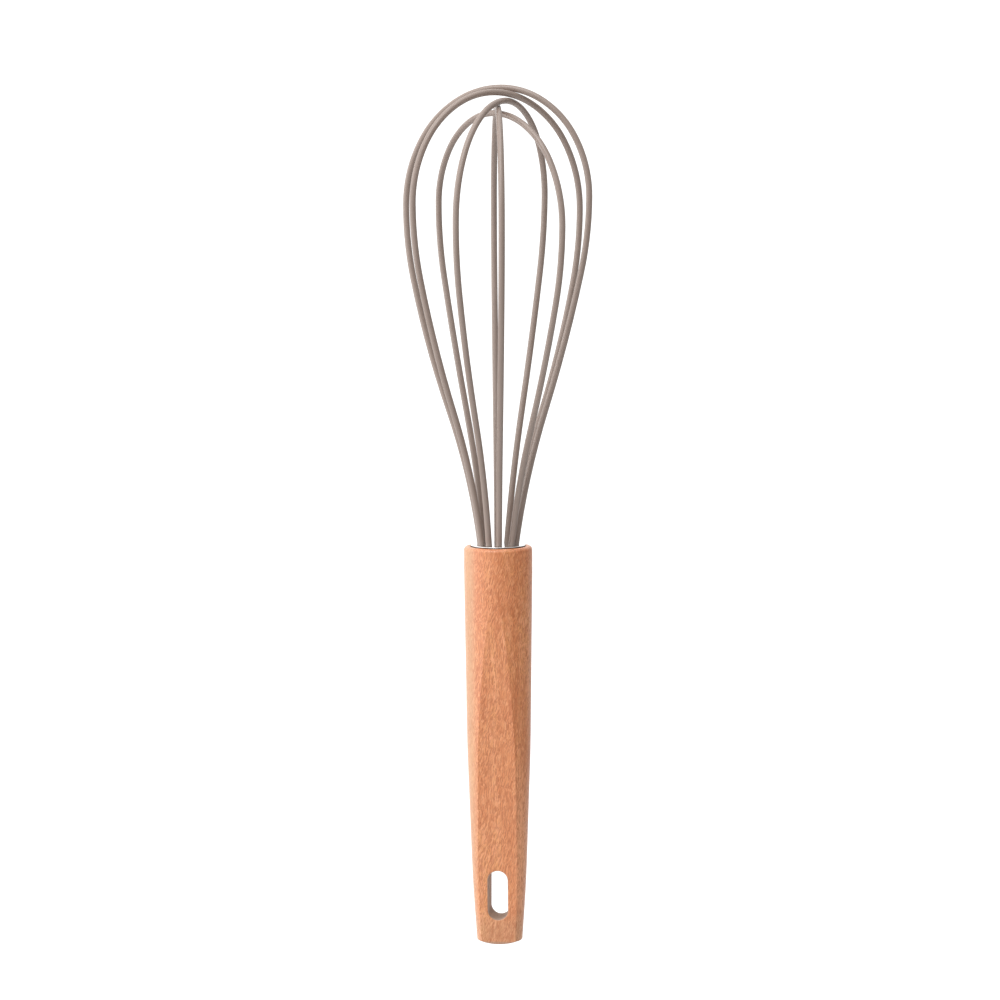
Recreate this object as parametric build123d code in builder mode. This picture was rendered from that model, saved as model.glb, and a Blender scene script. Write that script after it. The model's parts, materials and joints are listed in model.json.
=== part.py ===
from build123d import *
import os
from math import cos, radians, sin, sqrt

os.makedirs("parts", exist_ok=True)

# Balloon whisk, standing on its butt: +Z runs up the handle to the balloon, the hanging slot
# is pierced along Y, and the origin is the middle of the butt. All sizes are in millimetres.

# ---- handle: turned beech, tapering to the butt, with a long flat on its front and back ----
handle_length = 141.0
grip_radius = 11.95
taper_start = 132.0         # height where the straight collar ends and the taper begins
waist_height = 70.0         # the taper steepens here, and again at the knee
waist_radius = 11.13
waist_rounding = 600.0
knee_height = 22.0
knee_radius = 9.42
knee_rounding = 500.0
butt_radius = 8.0
butt_pad_radius = 2.0       # flat spot in the middle of the crowned butt
butt_crown_radius = 13.5
rim_rounding = 1.3          # outer edge at the mouth
lip_rounding = 0.3          # inner edge at the mouth
butt_rounding = 0.4
flat_depth_at_butt = 5.2    # from the axis to either flat, at the butt
flat_slope = 3.11           # degrees that the flats open upwards, until they run out
crease_rounding = 0.5
slot_width = 6.9
slot_length = 17.5
slot_centre_height = 18.0
slot_edge_rounding = 0.5

# ---- mouth: a drawn steel cup set in the bore, filled with resin ----
bore_radius = 9.65
bore_depth = 28.0
cap_radius = 9.6
cap_proud = 0.5             # how far the cup's face stands above the wood
cap_depth = 12.0            # cup skirt below the mouth
cap_sheet = 0.5
cap_rounding = 0.2
leg_hole_clearance = 0.12
punch_reach = 1.0           # leg holes are cut this far to either side of the mouth
resin_bottom_gap = 1.0
bond_gap = 0.02             # film between bonded pieces

# ---- wire loops: steel cores in silicone sleeves ----
core_radius = 0.7
sleeve_radius = 1.1
pitch_radius = 6.3          # where the legs pass the mouth
leg_slope = 7.5             # degrees that a leg leans outwards at the mouth
root_bend_radius = 60.0     # bend that brings a leg upright inside the resin
core_root_length = 16.0     # straight core below that bend
crown_radii = (26.8, 32.6, 43.0)    # apex to widest point, one radius for each part of the turn
crown_turn = 30.0
belly_radius = 125.0
belly_turn = 12.0

# One line for each loop, outermost first: bearing of its plane about +Z, lean of the plane
# away from that side, reach of its two legs, apex shift along the plane, apex above the mouth.
loops = {
    "1": dict(bearing=-7.5, lean=2.0, reach=(31.9, 33.5), shift=0.3, rise=159.25),
    "2": dict(bearing=-146.0, lean=0.1, reach=(32.6, 32.9), shift=0.9, rise=157.55),
    "3": dict(bearing=-114.0, lean=1.0, reach=(31.1, 30.3), shift=-1.9, rise=154.65),
    "4": dict(bearing=-81.5, lean=0.2, reach=(30.8, 31.1), shift=-3.2, rise=152.6),
    "5": dict(bearing=-37.0, lean=0.7, reach=(29.4, 29.2), shift=-3.1, rise=150.4),
}


def save(piece, name):
    """Label a finished piece and write its STEP file."""
    piece.part.label = name
    export_step(piece.part, f"parts/{name}.step")


def round_corner(sketch, corner, radius):
    """Round the corner of an open sketch that is nearest the given point."""
    fillet(sketch.vertices().sort_by_distance(corner)[0], radius)


def biarc_joint(start, start_dir, end, end_dir):
    """Where two arcs meet that leave start and reach end along the given directions."""
    gap = end - start
    a = 2 * (1 - start_dir.dot(end_dir))
    b = 2 * gap.dot(start_dir + end_dir)
    reach = (sqrt(b * b + 4 * a * gap.dot(gap)) - b) / (2 * a)
    return (start + start_dir * reach + end - end_dir * reach) / 2


def loop_plane(loop):
    """Plane of a loop: origin at the mouth, X towards its first leg, Y up through the apex."""
    bearing = radians(loop["bearing"])
    lean = radians(loop["lean"])
    out = Vector(cos(bearing), sin(bearing), 0)
    sideways = Vector(-sin(bearing), cos(bearing), 0)
    normal = Vector(0, 0, sin(lean)) - sideways * cos(lean)
    return Plane(origin=(0, 0, handle_length), x_dir=out, z_dir=normal)


def leg_at_mouth(loop, side):
    """Plane across a leg where it passes the mouth, with Z down along the leg."""
    plane = loop_plane(loop)
    slope = radians(leg_slope)
    point = plane.from_local_coords((side * pitch_radius, 0, 0))
    ahead = plane.from_local_coords((side * (pitch_radius - sin(slope)), -cos(slope), 0))
    return Plane(origin=point, z_dir=ahead - point)


def draw_half(loop, side, root_length):
    """Arcs from a loop's apex down one leg, added to the open BuildLine."""
    unit_reach = sum(
        radius * (sin(radians(crown_turn * (i + 1))) - sin(radians(crown_turn * i)))
        for i, radius in enumerate(crown_radii)
    )
    reach = loop["reach"][0] if side > 0 else loop["reach"][1]
    scale = (reach - side * loop["shift"]) / unit_reach
    start = (loop["shift"], loop["rise"])
    heading = (side, 0)
    for radius in crown_radii:
        crown = JernArc(start, heading, radius * scale, -side * crown_turn)
        start, heading = crown @ 1, crown % 1
    belly = JernArc(start, heading, belly_radius, -side * belly_turn)
    mouth = leg_at_mouth(loop, side)
    joint = biarc_joint(belly @ 1, belly % 1, mouth.origin, mouth.z_dir)
    flank = TangentArc(belly @ 1, joint, tangent=belly % 1)
    throat = TangentArc(joint, mouth.origin, tangent=flank % 1)
    root = JernArc(throat @ 1, throat % 1, root_bend_radius, side * leg_slope)
    if root_length > 0:
        Line(root @ 1, root @ 1 + (root % 1) * root_length)


def loop_path(loop, root_length):
    """Centre line of a loop, from the end of one leg over the apex to the end of the other."""
    with BuildLine(loop_plane(loop)) as path:
        draw_half(loop, 1, root_length)
        draw_half(loop, -1, root_length)
    return path.wire()


def swept_rod(path, radius, hollow_radius=0.0):
    """A round rod or tube along a path."""
    with BuildPart() as rod:
        with BuildSketch(Plane(origin=path @ 0, z_dir=path % 0)):
            Circle(radius)
            if hollow_radius > 0:
                Circle(hollow_radius, mode=Mode.SUBTRACT)
        sweep(path=path)
    return rod


# ---- handle ----
crown_rise = butt_crown_radius - sqrt(butt_crown_radius**2 - (butt_radius - butt_pad_radius) ** 2)
butt_edge = (butt_radius, crown_rise)
knee = (knee_radius, knee_height)
waist = (waist_radius, waist_height)
collar_foot = (grip_radius, taper_start)
mouth_rim = (grip_radius, handle_length)
mouth_lip = (bore_radius, handle_length)
bore_bottom = handle_length - bore_depth

with BuildPart() as handle:
    with BuildSketch(Plane.XZ) as outline:
        with BuildLine():
            pad = Line((0, 0), (butt_pad_radius, 0))
            RadiusArc(pad @ 1, butt_edge, -butt_crown_radius)
            Polyline(butt_edge, knee, waist, collar_foot, mouth_rim, mouth_lip)
            Polyline(mouth_lip, (bore_radius, bore_bottom), (0, bore_bottom), (0, 0))
        make_face()
        round_corner(outline, knee, knee_rounding)
        round_corner(outline, waist, waist_rounding)
        round_corner(outline, mouth_rim, rim_rounding)
        round_corner(outline, mouth_lip, lip_rounding)
        round_corner(outline, butt_edge, butt_rounding)
    revolve(axis=Axis.Z)
    for side in (-1, 1):
        outward = Vector(0, side * cos(radians(flat_slope)), -sin(radians(flat_slope)))
        flat = Plane(origin=(0, side * flat_depth_at_butt, 0), z_dir=outward)
        split(bisect_by=flat, keep=Keep.BOTTOM)
    creases = handle.edges().filter_by(GeomType.BSPLINE)
    fillet(creases, crease_rounding)
    with BuildSketch(Plane.XZ):
        with Locations((0, slot_centre_height)):
            SlotOverall(slot_length, slot_width, rotation=90)
    extrude(amount=grip_radius, both=True, mode=Mode.SUBTRACT)
    slot_bottom = slot_centre_height - slot_length / 2
    slot_rims = (
        handle.edges()
        .filter_by(Axis.Y, reverse=True)
        .filter_by_position(Axis.X, -slot_width / 2, slot_width / 2)
        .filter_by_position(Axis.Z, slot_bottom, slot_bottom + slot_length)
    )
    fillet(slot_rims, slot_edge_rounding)
save(handle, "handle")

# ---- end cap ----
cap_top = handle_length + cap_proud
skirt_bottom = handle_length - cap_depth
cup_inner_radius = cap_radius - cap_sheet

with BuildPart() as end_cap:
    with BuildSketch(Plane.XY.offset(skirt_bottom)):
        Circle(cap_radius)
    extrude(amount=cap_top - skirt_bottom)
    fillet(end_cap.edges().group_by(Axis.Z)[-1], cap_rounding)
    with BuildSketch(Plane.XY.offset(skirt_bottom)):
        Circle(cup_inner_radius)
    extrude(amount=cap_top - cap_sheet - skirt_bottom, mode=Mode.SUBTRACT)
    for loop in loops.values():
        for side in (1, -1):
            with BuildSketch(leg_at_mouth(loop, side)):
                Circle(sleeve_radius + leg_hole_clearance)
            extrude(amount=punch_reach, both=True, mode=Mode.SUBTRACT)
save(end_cap, "end_cap")

# ---- wire loops ----
sleeves = {}
cores = {}
for number, loop in loops.items():
    cores[number] = swept_rod(loop_path(loop, core_root_length), core_radius)
    sleeves[number] = swept_rod(loop_path(loop, 0), sleeve_radius, core_radius + bond_gap)
    save(cores[number], f"wire_core_{number}")
    save(sleeves[number], f"silicone_sleeve_{number}")

# ---- resin that locks the legs in the handle, below the cup and inside it ----
resin_bottom = bore_bottom + resin_bottom_gap
resin_top = cap_top - cap_sheet - bond_gap
resin_step = skirt_bottom - bond_gap

with BuildPart() as resin_plug:
    with BuildSketch(Plane.XY.offset(resin_bottom)):
        Circle(bore_radius - bond_gap)
    extrude(amount=resin_step - resin_bottom)
    with BuildSketch(Plane.XY.offset(resin_step)):
        Circle(cup_inner_radius - bond_gap)
    extrude(amount=resin_top - resin_step)
    for loop in loops.values():
        sleeve_void = swept_rod(loop_path(loop, bond_gap), sleeve_radius + bond_gap)
        core_void = swept_rod(loop_path(loop, core_root_length + bond_gap), core_radius + bond_gap)
        add(sleeve_void.part, mode=Mode.SUBTRACT)
        add(core_void.part, mode=Mode.SUBTRACT)
save(resin_plug, "resin_plug")
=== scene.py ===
import json
from math import cos, radians, sin

import bpy
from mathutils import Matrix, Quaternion, Vector


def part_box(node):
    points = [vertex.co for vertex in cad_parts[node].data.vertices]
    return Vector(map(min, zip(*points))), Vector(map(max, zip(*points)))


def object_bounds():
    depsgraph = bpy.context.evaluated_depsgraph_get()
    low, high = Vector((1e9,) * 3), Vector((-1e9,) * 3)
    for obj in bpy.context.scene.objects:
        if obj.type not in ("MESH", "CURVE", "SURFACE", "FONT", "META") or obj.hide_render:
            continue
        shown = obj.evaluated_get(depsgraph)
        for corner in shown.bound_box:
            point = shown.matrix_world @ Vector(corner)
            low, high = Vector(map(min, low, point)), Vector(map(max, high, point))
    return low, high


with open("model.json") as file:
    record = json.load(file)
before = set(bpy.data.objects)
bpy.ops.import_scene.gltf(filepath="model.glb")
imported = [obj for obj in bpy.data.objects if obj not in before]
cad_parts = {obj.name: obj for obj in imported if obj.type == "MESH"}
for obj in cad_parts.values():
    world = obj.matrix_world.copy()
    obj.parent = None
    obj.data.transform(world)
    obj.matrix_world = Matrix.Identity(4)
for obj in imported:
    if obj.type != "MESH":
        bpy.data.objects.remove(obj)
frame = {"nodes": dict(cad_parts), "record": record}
cad_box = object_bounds()
scene = bpy.context.scene
MM = 0.001

top_height = cad_box[1][2]
whisk_middle = Vector((0.0, 0.0, top_height / 2))

# ---- the hanging slot, in millimetres ----
mounts = {mount["name"]: mount for mount in frame["record"]["mounts"]}
openings = {opening["name"]: opening for opening in frame["record"]["physics"]["openings"]}
slot_radius = mounts["hanging_slot"]["dims"]["r_mm"]
slot_end_height = mounts["hanging_slot"]["pos_m"][2] / MM       # middle of its lower round end
slot_bottom, slot_top = (corner[2] / MM for corner in openings["hanging_slot"]["box_m"])
slot_middle_height = (slot_bottom + slot_top) / 2

# ---- details of the surfaces, with places and sizes in millimetres ----
grain_slant = 0.2                       # how far right the grain leans for each millimetre upwards
# a darker oval of painted shade on the right front of the grip
shaded_oval_middle = Vector((7.9, 0.0, 84.0))
shaded_oval_half_width = 3.0
shaded_oval_half_height = 14.0
wall_margin = 0.1                       # the slot's milled look and painted shade run this far on to its rounded rims
wall_fade = 0.2
milled_roughness = 0.95
shadow_line_width = 0.15                       # painted shadow line round the cup, where it meets the wood
shadow_line_depth = 0.25
shadow_line_fade = 0.1


class NodeTree:
    """One node tree, with a short call for each kind of node used below."""

    def __init__(self, tree):
        self.nodes = tree.nodes
        self.links = tree.links

    def feed(self, socket, value):
        """Link a socket, or set it when the value is a plain number, vector or colour."""
        if isinstance(value, bpy.types.NodeSocket):
            self.links.new(value, socket)
        else:
            socket.default_value = value

    def scaled(self, vector, factors):
        return self.vector_maths("MULTIPLY", vector, factors)

    def stretched(self, vector, across, along):
        """Scale a place so that a texture has this many features to a millimetre."""
        return self.scaled(vector, (across, across, along))

    def shifted(self, vector, offset):
        return self.vector_maths("ADD", vector, offset)

    def vector_maths(self, operation, a, b):
        node = self.nodes.new("ShaderNodeVectorMath")
        node.operation = operation
        self.feed(node.inputs[0], a)
        self.feed(node.inputs[1], b)
        return node.outputs[0]

    def split(self, vector):
        node = self.nodes.new("ShaderNodeSeparateXYZ")
        self.feed(node.inputs[0], vector)
        return node.outputs

    def join(self, x, y, z):
        node = self.nodes.new("ShaderNodeCombineXYZ")
        for socket, value in zip(node.inputs, (x, y, z)):
            self.feed(socket, value)
        return node.outputs[0]

    def maths(self, operation, a, b=0.0):
        node = self.nodes.new("ShaderNodeMath")
        node.operation = operation
        self.feed(node.inputs[0], a)
        self.feed(node.inputs[1], b)
        return node.outputs[0]

    def product(self, first, *others):
        for other in others:
            first = self.maths("MULTIPLY", first, other)
        return first

    def hypotenuse(self, a, b):
        squares = self.maths("ADD", self.product(a, a), self.product(b, b))
        return self.maths("SQRT", squares)

    def noise(self, vector, scale=1.0, detail=2.0, roughness=0.5, colour=False):
        node = self.nodes.new("ShaderNodeTexNoise")
        self.feed(node.inputs["Vector"], vector)
        self.feed(node.inputs["Scale"], scale)
        self.feed(node.inputs["Detail"], detail)
        self.feed(node.inputs["Roughness"], roughness)
        return node.outputs["Color" if colour else "Fac"]

    def cells(self, vector):
        """Distance to the middle of the nearest of many scattered cells."""
        node = self.nodes.new("ShaderNodeTexVoronoi")
        self.feed(node.inputs["Vector"], vector)
        self.feed(node.inputs["Scale"], 1.0)
        return node.outputs["Distance"]

    def rise(self, value, low, high, bottom=0.0, top=1.0):
        """A smooth step from bottom to top as the value goes from low to high."""
        node = self.nodes.new("ShaderNodeMapRange")
        node.interpolation_type = "SMOOTHSTEP"
        for socket, number in zip(node.inputs, (value, low, high, bottom, top)):
            self.feed(socket, number)
        return node.outputs[0]

    def blend(self, share, first, second):
        node = self.nodes.new("ShaderNodeMix")
        node.data_type = "RGBA"
        sockets = {socket.identifier: socket for socket in (*node.inputs, *node.outputs)}
        self.feed(sockets["Factor_Float"], share)
        self.feed(sockets["A_Color"], first)
        self.feed(sockets["B_Color"], second)
        return sockets["Result_Color"]

    def tint(self, colour, where, strength, tone):
        """Blend a tone into a colour, by the given strength where the mask is 1."""
        return self.blend(self.product(where, strength), colour, tone)


class Shader(NodeTree):
    """A material with one glossy surface, textured by the place on the object in millimetres."""

    def __init__(self, name):
        self.material = bpy.data.materials.new(name)
        self.material.use_nodes = True
        super().__init__(self.material.node_tree)
        self.surface = self.nodes["Principled BSDF"]
        texture_coordinates = self.nodes.new("ShaderNodeTexCoord")
        self.place = self.scaled(texture_coordinates.outputs["Object"], (1 / MM,) * 3)

    def wander(self, across, along, reach):
        """A sideways drift that wanders from place to place, over a reach in millimetres."""
        drift = self.noise(self.stretched(self.place, across, along), colour=True)
        centred = self.shifted(drift, (-0.5, -0.5, -0.5))
        return self.scaled(centred, (reach, reach, 0.0))

    def bump(self, height, depth):
        """Relief of the given depth in metres."""
        node = self.nodes.new("ShaderNodeBump")
        node.inputs["Distance"].default_value = depth
        self.feed(node.inputs["Height"], height)
        self.feed(self.surface.inputs["Normal"], node.outputs[0])

    def finish(self, **inputs):
        for name, value in inputs.items():
            self.feed(self.surface.inputs[name.replace("_", " ")], value)
        return self.material


def rgb(red, green, blue):
    """An opaque colour, in linear values."""
    return (red, green, blue, 1.0)


def grey(value):
    return rgb(value, value, value)


def slot_wall(wood):
    """How far a place on the handle lies on the milled wall of the hanging slot, from 0 to 1."""
    x, _, z = wood.split(wood.place)
    off_middle = wood.maths("ABSOLUTE", wood.maths("SUBTRACT", z, slot_middle_height))
    half_straight = slot_middle_height - slot_end_height
    beyond = wood.maths("MAXIMUM", wood.maths("SUBTRACT", off_middle, half_straight), 0.0)
    wall_radius = slot_radius + wall_margin
    return wood.rise(wood.hypotenuse(x, beyond), wall_radius, wall_radius + wall_fade, 1.0, 0.0)


def shaded_oval(wood):
    """How far a place lies in the oval of painted shade on the right front of the grip, from 0 to 1.
    """
    x, y, z = wood.split(wood.shifted(wood.place, -shaded_oval_middle))
    across = wood.maths("DIVIDE", x, shaded_oval_half_width)
    along = wood.maths("DIVIDE", z, shaded_oval_half_height)
    oval = wood.rise(wood.hypotenuse(across, along), 0.7, 1.1, 1.0, 0.0)
    on_front = wood.rise(y, -3.0, -1.0, 1.0, 0.0)
    return wood.product(oval, on_front)


def beech():
    """Lacquered beech: wavy slanting grain, dense dark flecks, soft mottles, dull milled wood."""
    wood = Shader("lacquered_beech")
    x, _, z = wood.split(wood.place)
    grown = wood.shifted(wood.place, wood.wander(across=0.05, along=0.03, reach=6.0))
    jittered = wood.shifted(grown, wood.wander(across=0.5, along=0.35, reach=1.1))
    slant = wood.join(wood.product(z, -grain_slant), 0.0, 0.0)
    grain = wood.shifted(jittered, slant)

    fibre = wood.noise(wood.stretched(grain, across=2.8, along=0.1), roughness=0.6)
    dash = wood.noise(wood.stretched(grain, across=3.2, along=0.36), detail=1.0)
    glint = wood.noise(wood.stretched(grain, across=3.0, along=0.42), detail=1.0)
    fleck = wood.cells(wood.stretched(grain, across=1.7, along=0.4))
    patch = wood.noise(wood.stretched(grown, across=0.25, along=0.1))
    band = wood.noise(wood.scaled(grown, (0.25, 0.15, 0.012)), roughness=0.55)
    mottle = wood.noise(wood.stretched(wood.place, across=0.55, along=0.3), detail=3.0)
    cloud = wood.noise(wood.stretched(wood.place, across=0.07, along=0.04))

    # masks, from places across the handle in x and up it in z
    # painted sheen: the lit left side of the grip, in a less saturated tone as under a highlight
    sheen_on_left = wood.rise(x, -9.0, -6.0, 1.0, 0.0)
    foot = wood.rise(z, 6.0, 14.0, 1.0, 0.0)
    at_butt = wood.rise(z, 0.9, 1.6, 1.0, 0.0)
    # paler towards the lower right of the grip
    paler_lower_right = wood.product(wood.rise(x, 5.5, 8.0), wood.rise(z, 40.0, 75.0, 1.0, 0.0))
    in_slot = slot_wall(wood)
    # painted shade, deepening towards the lower end of the slot
    shaded_slot_floor = wood.rise(z, slot_end_height - 2.0, slot_end_height + 0.5, 1.0, 0.0)
    milled = wood.maths("MAXIMUM", in_slot, at_butt)

    # marks of the grain, in patches, and fainter on the left where the painted sheen washes them out
    grain_faded_by_sheen = wood.rise(x, -9.5, -6.5, 0.5, 1.0)
    glints = wood.product(wood.rise(glint, 0.5, 0.66), grain_faded_by_sheen)
    dash_patches = wood.rise(patch, 0.35, 0.65, 1.0, 0.7)
    dashes = wood.product(wood.rise(dash, 0.46, 0.6), dash_patches, grain_faded_by_sheen)
    fleck_patches = wood.rise(patch, 0.3, 0.6, 0.3, 1.0)
    flecks = wood.product(wood.rise(fleck, 0.1, 0.34, 1.0, 0.0), fleck_patches, grain_faded_by_sheen)

    colour = wood.blend(wood.rise(mottle, 0.35, 0.65), rgb(0.9, 0.385, 0.185), rgb(0.86, 0.375, 0.145))
    # the milled wood of the slot wall, darkened by painted shade, most at the slot's lower end
    milled_and_shaded_tone = wood.blend(shaded_slot_floor, rgb(0.57, 0.46, 0.39), rgb(0.37, 0.29, 0.235))

    # where each tone lies, how strong it is, and the tone, from the first coat to the last
    tints = (
        (wood.rise(band, 0.35, 0.68), 1.0, rgb(0.76, 0.28, 0.107)),
        (wood.rise(cloud, 0.42, 0.72), 0.6, rgb(0.7, 0.215, 0.08)),
        (wood.rise(fibre, 0.42, 0.66), 0.65, rgb(0.58, 0.18, 0.06)),
        # painted shade: the darker oval on the right front of the grip
        (shaded_oval(wood), 0.2, rgb(0.6, 0.17, 0.05)),
        (paler_lower_right, 0.6, rgb(1.0, 0.5, 0.27)),
        # painted highlight: a less saturated tone on the lit left side
        (sheen_on_left, 0.5, rgb(0.5, 0.36, 0.2)),
        (foot, 0.3, rgb(0.47, 0.34, 0.19)),
        (glints, 0.4, rgb(1.0, 0.52, 0.27)),
        (dashes, 0.72, rgb(0.46, 0.12, 0.03)),
        (flecks, 0.5, rgb(0.4, 0.1, 0.027)),
        # milled wood in the slot, partly its own colour and partly painted shade
        (in_slot, 0.85, milled_and_shaded_tone),
        (at_butt, 0.75, rgb(0.45, 0.28, 0.195)),
    )
    for where, strength, tone in tints:
        colour = wood.tint(colour, where, strength, tone)

    relief = wood.maths("SUBTRACT", wood.product(fibre, 0.6), flecks)
    wood.bump(relief, 0.02 * MM)
    lacquer = wood.rise(fibre, 0.3, 0.7, 0.34, 0.46)
    roughness = wood.maths("MAXIMUM", lacquer, wood.product(milled, milled_roughness))
    return wood.finish(Base_Color=colour, Roughness=roughness, Specular_IOR_Level=0.9)


def silicone():
    """Matt taupe silicone with a faint cloudiness and a soft skin texture."""
    rubber = Shader("taupe_silicone")
    cloud = rubber.noise(rubber.place, scale=0.08)
    skin = rubber.noise(rubber.place, scale=1.2)
    colour = rubber.blend(cloud, rgb(0.285, 0.215, 0.178), rgb(0.33, 0.255, 0.218))
    rubber.bump(skin, 0.004 * MM)
    roughness = rubber.rise(cloud, 0.3, 0.7, 0.3, 0.38)
    return rubber.finish(Base_Color=colour, Roughness=roughness, Specular_IOR_Level=0.8)


def polished_steel():
    """Bright drawn cup with faint turning marks, and a painted shadow line where it meets the wood."""
    steel = Shader("polished_steel")
    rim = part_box("end_cap")[1] / MM
    x, y, z = steel.split(steel.place)
    radius = steel.hypotenuse(x, y)
    rings = steel.noise(steel.join(radius, 0.0, z), scale=6.0, detail=3.0)
    shadow_line_radius = rim.x - shadow_line_width
    shadow_line_height = rim.z - shadow_line_depth
    outside = steel.rise(radius, shadow_line_radius, shadow_line_radius + shadow_line_fade)
    below = steel.rise(z, shadow_line_height, shadow_line_height + shadow_line_fade, 1.0, 0.0)
    # painted shade: a dark line at the foot of the cup's rim, where it meets the wood
    shadow_line = steel.product(outside, below)
    colour = steel.blend(shadow_line, grey(0.9), rgb(0.07, 0.05, 0.04))
    steel.bump(rings, 0.002 * MM)
    polish = steel.rise(rings, 0.3, 0.7, 0.06, 0.12)
    roughness = steel.maths("MAXIMUM", polish, steel.product(shadow_line, 0.6))
    return steel.finish(Base_Color=colour, Metallic=1.0, Roughness=roughness)


def drawn_wire():
    """Spring steel with fine lengthwise drawing marks."""
    wire = Shader("spring_steel")
    marks = wire.noise(wire.stretched(wire.place, across=8.0, along=0.4))
    wire.bump(marks, 0.004 * MM)
    roughness = wire.rise(marks, 0.3, 0.7, 0.25, 0.4)
    return wire.finish(Base_Color=grey(0.6), Metallic=1.0, Roughness=roughness)


def cast_resin():
    """Amber casting resin with a few clouds."""
    resin = Shader("casting_resin")
    cloud = resin.noise(resin.place, scale=0.4)
    colour = resin.blend(cloud, rgb(0.72, 0.60, 0.38), rgb(0.62, 0.47, 0.26))
    roughness = resin.rise(cloud, 0.3, 0.7, 0.15, 0.3)
    return resin.finish(Base_Color=colour, Roughness=roughness)


def dress(prefix, material):
    """Give a material to every piece whose name starts with the prefix."""
    for name, piece in frame["nodes"].items():
        if name.startswith(prefix):
            for slot in piece.material_slots:
                slot.material = material


dress("handle", beech())
dress("end_cap", polished_steel())
dress("resin_plug", cast_resin())
dress("wire_core", drawn_wire())
dress("silicone_sleeve", silicone())

# ---- camera: a long lens, a little above and to the right of straight ahead ----
azimuth = radians(6.0)
elevation = radians(6.0)
camera_distance = 1.3
lens_mm = 134.1
sensor_mm = 36.0
camera_roll = radians(-0.257)
target_height = 0.5214 * top_height     # just above the middle of the whisk
target_right = 0.74 * MM

right = Vector((cos(azimuth), sin(azimuth), 0.0))
level_heading = Vector((sin(azimuth), -cos(azimuth), 0.0))
towards_camera = level_heading * cos(elevation) + Vector((0.0, 0.0, sin(elevation)))
target = right * target_right + Vector((0.0, 0.0, target_height))
camera_data = bpy.data.cameras.new("camera")
camera_data.lens = lens_mm
camera_data.sensor_width = sensor_mm
camera_data.clip_start = 0.05
camera = bpy.data.objects.new("camera", camera_data)
scene.collection.objects.link(camera)
camera.location = target + towards_camera * camera_distance
aim = (-towards_camera).to_track_quat("-Z", "Y")
camera.rotation_mode = "QUATERNION"
camera.rotation_quaternion = aim @ Quaternion((0.0, 0.0, 1.0), camera_roll)
scene.camera = camera


# ---- light: a soft box above the camera's left, a wide one at the left, a small one overhead ----
def soft_box(name, offset, width, height, watts):
    """A rectangular light at an offset from the middle of the whisk, facing it."""
    data = bpy.data.lights.new(name, "AREA")
    data.shape = "RECTANGLE"
    data.size = width
    data.size_y = height
    data.energy = watts
    box = bpy.data.objects.new(name, data)
    scene.collection.objects.link(box)
    box.location = whisk_middle + offset
    box.rotation_mode = "QUATERNION"
    box.rotation_quaternion = (-offset).to_track_quat("-Z", "Y")


soft_box("key_light", Vector((-0.35, -0.95, 1.35)), width=1.0, height=1.0, watts=7.5)
soft_box("edge_light", Vector((-1.4, -0.25, 0.15)), width=1.5, height=1.0, watts=5.0)
soft_box("top_light", Vector((0.15, -0.15, 1.3)), width=0.6, height=0.6, watts=2.0)

# ---- room: plain white to the camera, with a glow that falls on the whisk from each side named ----
glow_all_round = 0.18
glow_back = 0.6
glow_left = 1.0
glow_above = 0.5

world = bpy.data.worlds.new("white_room")
world.use_nodes = True
scene.world = world
room = NodeTree(world.node_tree)
backdrop = room.nodes["Background"]
backdrop.inputs["Color"].default_value = grey(1.0)
direction = room.nodes.new("ShaderNodeTexCoord").outputs["Generated"]
rightwards, backwards, upwards = room.split(direction)
glow = room.maths("ADD", glow_all_round, room.rise(backwards, 0.5, 0.95, 0.0, glow_back))
glow = room.maths("ADD", glow, room.rise(rightwards, -0.9, 0.7, glow_left, 0.0))
glow = room.maths("ADD", glow, room.rise(upwards, 0.05, 0.8, 0.0, glow_above))
camera_ray = room.nodes.new("ShaderNodeLightPath").outputs["Is Camera Ray"]
room.feed(backdrop.inputs["Strength"], room.maths("MAXIMUM", camera_ray, glow))

scene.view_settings.view_transform = "Standard"

# ---- floor: a wide pale sheet well below the whisk, fading into the white room ----
floor_drop = 1.7
floor_size = 12.0
fade_start = 4.0            # from the middle of the sheet, just short of its edge at the end
fade_end = 5.9

bpy.ops.mesh.primitive_plane_add(size=floor_size, location=(0.0, 0.0, -floor_drop))
floor = bpy.context.object
floor.name = "pale_floor"
paint = Shader("pale_floor")
floor_x, floor_y, _ = paint.split(paint.place)
fade = paint.rise(paint.hypotenuse(floor_x, floor_y), fade_start / MM, fade_end / MM, 1.0, 0.0)
cloudiness = paint.noise(paint.place, scale=0.01)
floor.data.materials.append(
    paint.finish(
        Base_Color=paint.blend(cloudiness, grey(0.76), grey(0.79)),
        Roughness=0.9,
        Emission_Color=grey(1.0),
        Emission_Strength=0.05,
        Alpha=fade,
    )
)
